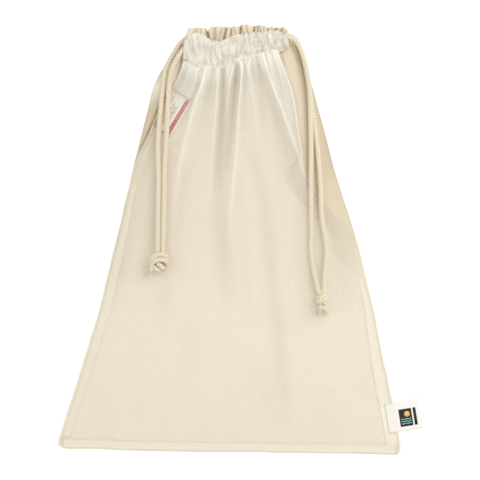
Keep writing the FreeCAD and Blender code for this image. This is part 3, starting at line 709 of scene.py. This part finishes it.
def net_point(across, upward):
    """Position and paint of one point of the net front."""
    low_x = -149 + 297 * across
    low = along(HEM_EDGE, low_x) + 1.2
    high_x = -39 + 81 * across
    high = along(STITCH_LINE, high_x) + 2.5
    y = low + (high - low) * upward
    left, right = net_edges(y)
    x = left + (right - left) * across
    below = along(STITCH_LINE, x) - y
    edge = max(0.0, min(1.0, (x - left) / 6, (right - x) / 6))
    lift, white = line_effect(RIDGES, x, y)
    sink, dark = line_effect(HOLLOWS, x, y)
    gather = gather_height(across, below) * (0.25 + 0.75 * edge)
    ripple = 0.5 * drift(x / 26, y / 60, 3.1) + 0.18 * drift(x / 8, y / 22, 7.7)
    z = front_height(x, y) + 0.4 + (lift - sink) * (0.3 + 0.7 * edge) + gather + ripple * edge
    near = smooth(18, 0, below)
    z += (18.2 + 0.6 * gather - z) * near
    z = max(z, 2.1)
    strip_left = along(DOUBLED_EDGE, y)
    strip = smooth(strip_left - 0.6, strip_left + 0.6, x) * smooth(20, 60, y) if y > 20 else 0.0
    veil = white + 0.20 * strip + 0.30 * smooth(22, 0, below) + 0.10 * smooth(70, 10, below)
    veil += 0.05 * max(-1, min(1, gather))
    rim = bell(x - right, 0.9) * smooth(30, 60, y) * 0.35 + bell(x - left, 0.9) * smooth(50, 66, y) * 0.45
    side = min(x - left, right - x)
    band = smooth(11, 9.5, side) * smooth(70, 20, y) * 0.02
    veil += rim + band
    from_x, from_y = x - LABEL_CENTRE[0], y - LABEL_CENTRE[1]
    label_x = from_x * math.cos(LABEL_TURN) + from_y * math.sin(LABEL_TURN)
    label_y = from_y * math.cos(LABEL_TURN) - from_x * math.sin(LABEL_TURN)
    veil -= 0.27 * smooth(13.5, 12, abs(label_x)) * smooth(19.2, 17.7, abs(label_y))
    veil -= 0.34 * smooth(12.8, 11.8, abs(y + 156.2)) * smooth(10.2, 9.2, right - x) * smooth(-120, -130, y)
    veil -= 0.20 * smooth(9, 1, right - x) * smooth(-30, 0, y) * smooth(62, 48, y)
    # painted shade: the hollows, the sides of the cushion, the long soft folds and the gathers' valleys
    tone = dark + side_shade(x, y) + 0.04 * max(0.0, -gather)
    return (x, y, z), veil, max(0.0, min(1.0, tone))


def make_net(side, net):
    """One half of the net front, up to the line that the mouth closes on."""
    rows, columns = 310, 100
    low = 0.0 if side == "left" else 0.5
    points, veils, tones = filled_grid(rows, columns, lambda across, upward: net_point(low + 0.5 * across, upward))
    piece = make_piece(f"{side}_net_front", points, grid_faces(rows, columns), [net], {"veil": veils, "tone": tones})
    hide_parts("front_panel")
    return piece


# ---- cotton back

WRAP = 0.42              # share of a row of the cotton that lies on the front


def cotton_section(y, share, left):
    """Point and paint of the cotton at y: share runs from the front's seam, over the fold, to the back's middle."""
    edge = along(LEFT_EDGE if left else RIGHT_EDGE, y)
    net_left, net_right = net_edges(y)
    seam = net_left if left else net_right
    out = -1 if left else 1
    under = 11 * smooth(35, 62, y) * smooth(125, 105, y) if left else 17 * smooth(-45, -10, y) * smooth(75, 58, y)
    seam_in = seam - out * (0.8 + under)
    if share < WRAP:
        x = seam_in + (edge - seam_in) * (share / WRAP)
        z = front_height(x, y) + 0.1
        beyond = max(0.0, (seam - x) * out)
        z -= (0.5 + (z - 1.4) * smooth(0.5, under + 0.6, beyond)) * smooth(0, 1.5, beyond) * smooth(0, 3, under)
        close = abs(edge - x)
        z = min(z, 1.2 + 2.4 * math.sqrt(close)) if close < 6 else z
        z += 0.35 * drift(x / 9, y / 18, 2.2) * min(1, close / 4)
        groove = bell(abs(x - seam) - 1.6, 1.4)
        if left:
            z -= 2.0 * groove * smooth(78, 95, y)
            # painted shade in tan where the left wrap turns away, and in the crease along the seam
            tone = 0.44 * smooth(45, 75, y) * smooth(135, 112, y)
            tone += 0.50 * groove * smooth(72, 84, y) * (1 - 0.6 * smooth(98, 106, y) * smooth(124, 116, y)) \
                * (1 - 0.6 * smooth(122, 138, y))
            tone *= 1 - smooth(0.5, 5, beyond)
        else:
            z -= 1.0 * groove * smooth(60, 90, y)
            # painted shade on the right wrap: in the crease along the seam and towards the folded edge
            tone = 0.08 * smooth(40, 110, y) + 0.22 * smooth(100, 55, y) * smooth(-60, 10, y)
            tone += 0.08 * groove * smooth(95, 120, y)
            tone += 0.15 * smooth(45, 75, y) * smooth(3, 14, edge - x)
            inner, outer = smooth(18, 2, edge - x), smooth(9, 2, edge - x)
            tone += (0.10 * inner + 0.30 * outer * smooth(40, 90, y)) * smooth(-20, 60, y)
            tone *= 1 - 0.8 * smooth(1, 14, beyond)
        # painted shade along the folded edge
        tone += 0.10 * smooth(2.5, 0.5, close) * smooth(-60, 0, y)
        return (x, y, max(0.3, z)), tone
    x = edge + (MIDDLE - edge) * ((share - WRAP) / (1 - WRAP)) ** 1.25
    z = 0.35 + 0.75 * math.exp(-abs(x - edge) / 1.2)
    z += 0.25 + 0.25 * drift(x / 30, y / 30, 5.5)
    lift = smooth(120, 163, y) * (1 - 0.85 * smooth(166, 171, y))
    z += lift * (2.6 + 0.6 * math.cos(x * 0.55) * smooth(140, 165, y))
    # darker towards the mouth, uneven colour, and painted shade from the sides and the hollows
    tone = 0.10 * smooth(80, 150, y) + 0.10 * max(0.0, drift(x / 24, y / 50, 9.1))
    tone += side_shade(x, y) + 0.8 * line_effect(HOLLOWS, x, y)[1]
    return (x, y, z), tone


def painted_light_share(y, share, left):
    """Painted light on the cotton, as a share of paler cream: all over the back, and on the front low down and towards
    the neck.
    """
    if share > 0.44:
        return 0.32 + 0.15 * smooth(30, -80, y)
    # painted light against the shade of the cords near the neck
    neck = 0.5 * smooth(115, 140, y) if left else 0.22 * smooth(80, 118, y)
    return neck + 0.6 * smooth(0, -50, y)


def make_cotton(side, calico):
    """One half of the cotton: the back, turned over the side fold on to the front as far as the seam."""
    rows, columns = 300, 110
    left = side == "left"
    low_corner = -179.2 if left else -187.0

    def point_at(share, upward):
        (x, y, z), tone = cotton_section(low_corner + (173.0 - low_corner) * upward, share, left)
        y += (along(HEM_EDGE, x) - low_corner) * (1 - upward) ** 6
        return (x, y, z), tone, painted_light_share(y, share, left)

    points, tones, pales = filled_grid(rows, columns, point_at)
    faces = grid_faces(rows, columns)
    piece = make_piece(f"{side}_cotton_back", points, flipped(faces) if left else faces, [calico],
                       {"tone": tones, "pale": pales})
    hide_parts("back_panel")
    return piece


# ---- gathered casings

def pleat(rng, start, stop, least, most):
    """A run of pleat lines (place, depth, width, slant) with uneven gaps."""
    lines, place = [], start
    while place < stop:
        lines.append((place, rng.uniform(0.6, 1.5), rng.uniform(0.5, 1.4), rng.uniform(-0.3, 0.3)))
        place += rng.uniform(least, most)
    return lines


NET_PLEATS = pleat(random.Random(11), -37, 48, 3.2, 8.5)
RIM_PLEATS = [           # (x, depth, width, slant) of the deep folds in the cotton casing
    (-31.2, 1.5, 1.1, 0.25), (-26.5, 1.2, 1.0, 0.1), (-22.4, 1.6, 1.1, 0.3), (-18.8, 3.6, 1.0, -0.15),
    (-13.8, 2.0, 1.6, 0.05), (-9.2, 1.6, 1.1, 0.25), (-5.0, 3.4, 0.95, 0.2), (0.9, 2.6, 0.8, 0.0),
    (4.6, 1.4, 0.8, -0.2), (8.7, 3.4, 0.9, 0.05), (12.6, 1.5, 0.8, -0.35), (16.0, 1.6, 0.8, -0.2),
    (20.2, 3.2, 1.0, 0.1), (24.6, 2.2, 0.8, -0.1), (27.6, 1.7, 0.7, -0.25), (30.4, 1.6, 0.7, -0.2),
    (33.6, 2.2, 0.8, -0.1), (39.3, 3.0, 1.1, 0.05), (43.6, 1.6, 0.9, 0.15), (47.2, 1.4, 0.8, 0.1)]


def pleat_depth(lines, x, y, base_y):
    """How deep the cloth dips at a point of a casing."""
    return sum(depth * bell(x - place - slant * (y - base_y), width) for place, depth, width, slant in lines)


def slot_outline(turn):
    """Across and up, from -1 to 1, of a rounded slot's outline."""
    across, up = math.cos(turn), math.sin(turn)
    return math.copysign(abs(across) ** 0.8, across), math.copysign(abs(up) ** 0.75, up)


def crumple_line(x, y, centre_z):
    """How far a point of a casing is from the nearest line of its crumple, as noise from 0 up."""
    return min(abs(drift(x / 3.6 + y / 9, y / 6.5, centre_z + 8)), abs(drift(x / 4.4 - y / 6, y / 5.0, centre_z + 2)))


CASING_STATIONS, CASING_SIDES = 230, 44
CASING_ENDS = {          # x of the open ends
    ("net", "left"): -38.6, ("net", "right"): 48.6, ("cotton", "left"): -37.2, ("cotton", "right"): 50.6}


def casing_points(ends, top, low, centre_z, deep, lines, scale, flat, crumple):
    """Rings round one half of a casing, from its open end to the middle of the mouth, and how deep each point dips."""
    first, last = ends
    points, dips = [], []
    for station in range(CASING_STATIONS):
        x = first + (last - first) * station / (CASING_STATIONS - 1)
        ruffle = 0.9 * drift(x / 2.2, centre_z, 0.4) + 0.6 * drift(x / 0.9, centre_z, 2.4)
        y_high, y_low = along(top, x) + ruffle, low(x) + 0.5 * drift(x / 1.7, centre_z, 6.1)
        inside = min(1.0, abs(x - first) / 4.5)
        rounding = math.sqrt(1 - 0.4 * (1 - inside) ** 2)
        middle = (y_high + y_low) / 2
        y_high, y_low = middle + (y_high - middle) * rounding, middle + (y_low - middle) * rounding
        middle, half = (y_high + y_low) / 2, (y_high - y_low) / 2
        for corner in range(CASING_SIDES):
            turn = 2 * math.pi * corner / CASING_SIDES
            across = math.cos(turn)
            reach_y, reach_z = slot_outline(turn)
            reach_z *= flat + (1 - flat) * smooth(-1.0, -0.25, across)
            y = middle + half * reach_y
            dip = pleat_depth(lines, x, y, middle) * scale
            fine = 0.50 * drift(x / 2.1 + y / 13, y / 8, centre_z) * scale
            fine += 1.1 * drift(x / 4.6 + y / 15, y / 12, centre_z + 4)
            fine += crumple * (0.34 - crumple_line(x, y, centre_z) * 2.2)
            inward = min(dip, deep * 0.85)
            z = max(0.35, centre_z + (deep - inward * 0.9 + fine) * reach_z)
            y -= (inward * 0.35 - fine) * reach_y * abs(across)
            points.append((x, y, z))
            dips.append(dip)
    return points, dips


def make_casing(side, kind, material):
    """Half of a casing: the cloth is folded over the cords and gathered along them."""
    front = kind == "net"
    outer = CASING_ENDS[kind, side]
    if front:
        centre = 17.0
        points, dips = casing_points((outer, MIDDLE), NET_TOP, lambda x: along(STITCH_LINE, x) - 0.6, centre, 3.9,
                                     NET_PLEATS, 0.9, 0.3, 0.75)
        veils, tones = [], []
        for (x, y, z), dip in zip(points, dips):
            thin = crumple_line(x, y, centre)
            # painted highlight along the raised crumple lines, over uneven cover
            veils.append(0.33 + 0.26 * drift(x / 3.4 + y / 20, y / 10, 1.3) + 0.24 * smooth(0.07, 0.0, thin))
            # painted shade in the pleat valleys and between the crumple lines; darker towards the right end
            tones.append(min(0.4, 0.02 + 0.11 * dip + 0.08 * smooth(0.12, 0.34, thin) + 0.10 * smooth(34, 46, x)))
        paint = {"veil": veils, "tone": tones}
    else:
        points, dips = casing_points((outer, MIDDLE), RIM_TOP, lambda x: 165.5, 4.9, 4.5, RIM_PLEATS, 1.0, 1.0, 0.45)
        # painted shade in the pleat valleys; darker round x 40.5
        paint = {"tone": [min(1.0, 0.04 + 0.26 * d + 0.42 * bell(p[0] - 40.5, 6.5)) for p, d in zip(points, dips)]}
    faces = grid_faces(CASING_STATIONS, CASING_SIDES, around=True)
    piece = make_piece(f"{side}_{kind}_casing", points, flipped(faces) if side == "left" else faces, [material], paint)
    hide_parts("front_casing" if front else "back_casing")
    return piece


CUFF_PROFILE = [         # (share of the way in, size) from the inside over the rolled rim and back in
    (1.0, 0.98), (0.6, 1.02), (0.25, 1.05), (0.08, 1.04), (0.0, 1.0), (0.0, 0.86), (0.35, 0.80), (1.0, 0.78)]


def make_cuff(name, x_open, x_inner, low, high, centre_z, deep, skew, material, slot, paint):
    """The hemmed open end of a casing: a flattened ring with a rolled rim, that the cord comes out of."""
    around = 40
    middle, half = (low + high) / 2, (high - low) / 2
    points = []
    for travel, size in CUFF_PROFILE:
        for corner in range(around):
            across, up = slot_outline(2 * math.pi * corner / around)
            y = middle + half * size * across
            x = x_open + (x_inner - x_open) * travel + skew * (y - middle)
            points.append((x + 0.3 * drift(corner / 3, travel, centre_z), y, centre_z + deep * size * up))
    faces = grid_faces(len(CUFF_PROFILE), around, around=True)
    piece = make_piece(name, points, flipped(faces) if x_inner > x_open else faces, [material],
                       {label: [value] * len(points) for label, value in paint.items()})
    return piece


# ---- seams, stitches and labels

SEAM_HEIGHT = 1.2
LABEL_GAUGE, TAG_GAUGE, INK_GAUGE = 0.3, 0.55, 0.03
STITCH_PITCH = 2.3
STITCH_DIP = 0.35        # how far a stitch stands up in its middle

def make_strip(name, inner, outer, low, high, material, pale=1.0):
    """A flat seam allowance between two edges given as functions of y."""
    rows, columns = 220, 14

    def point_at(share, upward):
        y = low + (high - low) * upward
        x = inner(y) + (outer(y) - inner(y)) * share + 0.25 * math.sin(y * 0.9) * (1 - share)
        z = SEAM_HEIGHT + 0.10 * math.sin(y * 0.21 + share * 2) * (1 - share) - 0.10 * (1 - share)
        return (x, y, z), 0.10 * bell(share - 0.04, 0.06) + 0.07 * (1 + math.cos(share * 25))

    points, tones = filled_grid(rows, columns, point_at)
    # pale: painted light over the allowance
    piece = make_piece(name, points, grid_faces(rows, columns), [material],
                       {"tone": tones, "pale": [pale] * len(points)})
    thicken(piece, 0.35)
    return piece


def make_hem_strip(calico):
    """The folded allowance along the bottom, inside the bag."""
    rows, columns = 12, 190

    def point_at(along_hem, share):
        x = -146 + 291 * along_hem
        y = along(HEM_EDGE, x) + 1.4 + 7.2 * share + 0.2 * math.sin(x * 0.8) * share
        tone = 0.10 * bell(share - 0.92, 0.08) + 0.08 + 0.07 * (1 + math.cos(share * 20))
        return (x, y, 1.15 + 0.3 * share + 0.15 * math.sin(x * 0.17)), tone

    points, tones = filled_grid(rows, columns, point_at)
    # pale: painted light over the allowance
    piece = make_piece("hem_allowance", points, grid_faces(rows, columns), [calico],
                       {"tone": tones, "pale": [1.0] * len(points)})
    thicken(piece, 0.5)
    return piece


def make_stitches(name, line, length, gauge, thread):
    """A row of machine stitches: short bent threads that sink into the cloth at both ends."""
    path, _ = even([Vector(p) for p in line], STITCH_PITCH)
    parts = []
    for a, b in zip(path, path[1:]):
        ahead = (b - a).normalized()
        middle = (a + b) / 2
        points = []
        for t in (0, 0.25, 0.5, 0.75, 1):
            rise = STITCH_DIP * (1 - (2 * t - 1) ** 2) - STITCH_DIP / 2
            points.append(middle + ahead * (length * (t - 0.5)) + Vector((0, 0, rise)))
        parts.append((*tube(points, gauge / 2, 6), 0.0))
    verts, faces, tones = join_parts(parts)
    piece = make_piece(name, verts, faces, [thread], {"tone": tones})
    return piece


def turned(angle, centre, across, up):
    """A point given across and up a label that is turned about its centre."""
    cos, sin = math.cos(angle), math.sin(angle)
    return centre[0] + across * cos - up * sin, centre[1] + across * sin + up * cos


def patch(outline, height, gauge):
    """A thin flat prism over a closed outline of (x, y) points."""
    count = len(outline)
    verts = [(x, y, height(x, y)) for x, y in outline] + [(x, y, height(x, y) + gauge) for x, y in outline]
    faces = [tuple(range(count, 2 * count)), tuple(reversed(range(count)))]
    faces += [(i, (i + 1) % count, count + (i + 1) % count, count + i) for i in range(count)]
    return verts, faces


def ribbon_grid(place, across, up, columns, rows, height, gauge):
    """A ribbon of its real gauge that follows a height, as a closed shell."""
    verts = []
    for layer in (0, 1):
        for row in range(rows):
            for column in range(columns):
                x, y = place(across[0] + (across[1] - across[0]) * column / (columns - 1),
                             up[0] + (up[1] - up[0]) * row / (rows - 1))
                verts.append((x, y, height(x, y) + gauge * layer))
    count = rows * columns
    faces = flipped(grid_faces(rows, columns)) + grid_faces(rows, columns, start=count)
    rim = ([(0, c) for c in range(columns)] + [(r, columns - 1) for r in range(1, rows)]
           + [(rows - 1, c) for c in range(columns - 2, -1, -1)] + [(r, 0) for r in range(rows - 2, 0, -1)])
    ids = [r * columns + c for r, c in rim]
    for a, b in zip(ids, ids[1:] + ids[:1]):
        faces.append((a, b, b + count, a + count))
    return verts, faces


def assemble(name, parts, materials):
    """A piece from (verts, faces, material number) parts."""
    verts, faces, indices = [], [], []
    for part_verts, part_faces, number in parts:
        start = len(verts)
        verts += part_verts
        faces += [tuple(start + i for i in face) for face in part_faces]
        indices += [number] * len(part_faces)
    return make_piece(name, verts, faces, materials, None, indices)


def box_outline(place, left, right, low, high):
    """The corners of a box on a turned label."""
    return [place(left, low), place(right, low), place(right, high), place(left, high)]


def make_care_label(tape, red, grey, brown):
    """The care label inside the bag: a white tape with a red band and plain printed bars."""

    def place(across, up):
        return turned(LABEL_TURN, LABEL_CENTRE, across, up)

    def height(x, y):
        return 2.0 + 0.25 * math.sin(x * 0.3 + y * 0.2)

    parts = [(*ribbon_grid(place, (-12, 12), (-17.75, 17.75), 13, 19, height, LABEL_GAUGE), 0)]

    def print_bar(left, right, low, high, number):
        outline = box_outline(place, left, right, low, high)
        parts.append((*patch(outline, lambda x, y: height(x, y) + LABEL_GAUGE, INK_GAUGE), number))

    band_steps, band_long = 14, 34.2
    for number in range(band_steps):
        low = -17.4 + band_long * number / band_steps
        print_bar(6.6, 10.1, low, low + band_long / band_steps + 0.05, 1)
    for across, low, high in ((-1.0, -9, 9.5), (1.3, -7.5, 8.5), (2.9, -11, 7.5)):
        for number in range(int((high - low) / 1.5)):
            start = low + 1.5 * number
            print_bar(across, across + 0.75, start, start + (1.25 if number % 3 else 0.7), 2)
    for across, up in ((-5.2, 4.5), (-5.2, 7.6), (-5.2, 10.7)):
        for sides in ((0, 2.2, 0, 0.35), (0, 2.2, 1.9, 2.25), (0, 0.35, 0, 2.2), (1.85, 2.2, 0, 2.2)):
            print_bar(across + sides[0], across + sides[1], up + sides[2], up + sides[3], 3)
    label = assemble("care_label_tape", parts, [tape, red, grey, brown])
    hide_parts("care_label")
    return label


def make_side_tag(tape, dark, teal, amber):
    """The loop of ribbon in the side seam, with a plain badge of a disc over waves on its face."""

    def place(across, up):
        return turned(TAG_ANGLE, TAG_FOLD, across, up)

    def height(x, y):
        out = (x - TAG_FOLD[0]) * math.cos(TAG_ANGLE) + (y - TAG_FOLD[1]) * math.sin(TAG_ANGLE)
        return 1.32 + 0.18 * math.sin(max(0.0, out) * 0.16) + 0.7 * smooth(-0.8, -3.2, out)

    parts = [(*ribbon_grid(place, (-8.5, 21.1), (-13, 13), 34, 20, height, TAG_GAUGE), 0)]

    def over(x, y):
        return height(x, y) + TAG_GAUGE

    def over_ink(x, y):
        return over(x, y) + 0.035

    def ink(left, right, low, high, number):
        columns = 6
        for column in range(columns):
            a = left + (right - left) * column / columns
            b = left + (right - left) * (column + 1) / columns
            parts.append((*patch(box_outline(place, a, b, low, high), over, 0.035), number))

    ink(2.2, 13.4, -9.3, 6.0, 1)
    ink(14.7, 17.3, -9.3, 6.0, 1)
    disc = [place(9.2 + 2.5 * math.cos(2 * math.pi * step / 24), 1.4 + 2.5 * math.sin(2 * math.pi * step / 24))
            for step in range(24)]
    parts.append((*patch(disc, over_ink, INK_GAUGE), 3))
    for row in range(3):
        wave_low = [(3.4 + 8.8 * step / 16, -3.4 - 1.9 * row + 0.35 * math.sin(step * 0.9 + row))
                    for step in range(17)]
        outline = [place(a, b) for a, b in wave_low] + [place(a, b + 0.75) for a, b in reversed(wave_low)]
        parts.append((*patch(outline, over_ink, INK_GAUGE), 2))
    tag = assemble("side_tag_ribbon", parts, [tape, dark, teal, amber])
    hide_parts("side_tag", "side_tag_root")
    return tag


# ---- baking soft pieces in place


def follow_mouth(piece, side):
    """Bakes the piece's placement into its mesh."""
    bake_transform(piece)


# ---- making it

make_camera()
cotton_yarn = yarn_material("cord_yarn", (0.85, 0.762, 0.60), (0.72, 0.615, 0.44))
thread_yarn = yarn_material("sewing_thread", (0.98, 0.97, 0.93), (0.92, 0.90, 0.83), 2400.0)

tails, knots = {}, {}
for tail, route in TAIL_ROUTES.items():
    tails[tail] = make_cord(f"{tail}_cord", route, cotton_yarn, tail)
    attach(tails[tail][0], "left_drawstring" if tail.startswith("left") else "right_drawstring")
for loop, route in LOOP_ROUTES.items():
    strand, _ = make_cord(f"{loop}_strand", route, cotton_yarn, loop)
    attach(strand, "left_drawstring" if loop.startswith("left") else "right_drawstring")
knots["left"] = make_knot("left_knot_tied", LEFT_KNOT, LEFT_TIPS, cotton_yarn, 5)
knots["right"] = make_knot("right_knot_tied", RIGHT_KNOT, RIGHT_TIPS, cotton_yarn, 8)
for side, knot in knots.items():
    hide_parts(f"{side}_knot")
    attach(knot, f"{side}_drawstring")
for tail, (piece, path) in tails.items():
    side = tail.split("_")[0]

make_studio()
calico = calico_material()
net = net_material()
tape = ribbon_material("label_tape", (0.87, 0.855, 0.80), (0.82, 0.80, 0.74))
label_tape = ribbon_material("care_label_tape", (0.93, 0.90, 0.82), (0.88, 0.84, 0.75))
red_ink = ribbon_material("red_ink", (0.56, 0.045, 0.05), (0.70, 0.16, 0.14))
grey_ink = ribbon_material("grey_ink", (0.16, 0.16, 0.18), (0.34, 0.34, 0.34))
brown_ink = ribbon_material("brown_ink", (0.42, 0.27, 0.13), (0.55, 0.40, 0.24))
dark_ink = ribbon_material("dark_ink", (0.022, 0.016, 0.012), (0.05, 0.04, 0.03))
teal_ink = ribbon_material("teal_ink", (0.22, 0.56, 0.52), (0.30, 0.64, 0.60))
amber_ink = ribbon_material("amber_ink", (0.82, 0.48, 0.12), (0.88, 0.56, 0.2))

for side in ("left", "right"):
    cotton_half = make_cotton(side, calico)
    follow_mouth(cotton_half, side)
    net_half = make_net(side, net)
    follow_mouth(net_half, side)
    follow_mouth(make_casing(side, "net", net), side)
    follow_mouth(make_casing(side, "cotton", calico), side)

CUFFS = (                # node, side, x of the rim, x inside, lowest y, highest y, middle z, half depth, lean, cloth
    ("left_front_cuff", "left", -39.9, -36.4, 155.8, 172.8, 17.0, 3.6, 0.10, "net"),
    ("right_front_cuff", "right", 50.2, 46.8, 166.0, 177.6, 17.0, 3.5, -0.10, "net"),
    ("left_back_cuff", "left", -39.6, -34.6, 165.4, 184.4, 6.4, 4.6, 0.36, "cotton"),
    ("right_back_cuff", "right", 52.2, 47.6, 166.6, 183.4, 4.9, 4.4, -0.20, "cotton"),
)
for node_name, side, x_open, x_inner, low, high, centre_z, deep, skew, kind in CUFFS:
    look = (net, "mesh", {"veil": 0.34, "tone": 0.08}) if kind == "net" else (calico, "cotton", {"tone": 0.06})
    ring = make_cuff(f"{node_name}_hem", x_open, x_inner, low, high, centre_z, deep, skew, *look)
    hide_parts(node_name)
    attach(ring, f"mouth_{side}")

# the allowances carry painted light as pale
left_strip = make_strip("left_seam_allowance", lambda y: along(LEFT_EDGE, y) + 10.5 - 4.0 * smooth(-60, 70, y),
                        lambda y: along(LEFT_EDGE, y) + 1.8, -172, 112, calico, pale=0.72)
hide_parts("left_side_seam")
follow_mouth(left_strip, "left")
right_strip = make_strip("right_seam_allowance", lambda y: along(RIGHT_EDGE, y) - 13.0 + 6.0 * smooth(-140, -20, y),
                         lambda y: along(RIGHT_EDGE, y) - 1.8, -180, 112, calico)
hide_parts("right_side_seam")
follow_mouth(right_strip, "right")
hem = make_hem_strip(calico)
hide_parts("bottom_seam")
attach(hem, "bag")

for side, low, high in (("left", -40.5, MIDDLE), ("right", MIDDLE, 46.5)):
    xs = [low + (high - low) * i / 59 for i in range(60)]
    row = make_stitches(f"{side}_net_casing_stitches", [(x, along(STITCH_LINE, x), 18.6) for x in xs],
                        1.7, 0.42, thread_yarn)
    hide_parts("front_casing_stitching")
    follow_mouth(row, side)
    row = make_stitches(f"{side}_cotton_casing_stitches", [(x, 164.2, 4.6) for x in xs], 1.9, 0.5, thread_yarn)
    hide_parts("back_casing_stitching")
    follow_mouth(row, side)

label = make_care_label(label_tape, red_ink, grey_ink, brown_ink)
follow_mouth(label, "left")
tag = make_side_tag(tape, dark_ink, teal_ink, amber_ink)
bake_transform(tag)
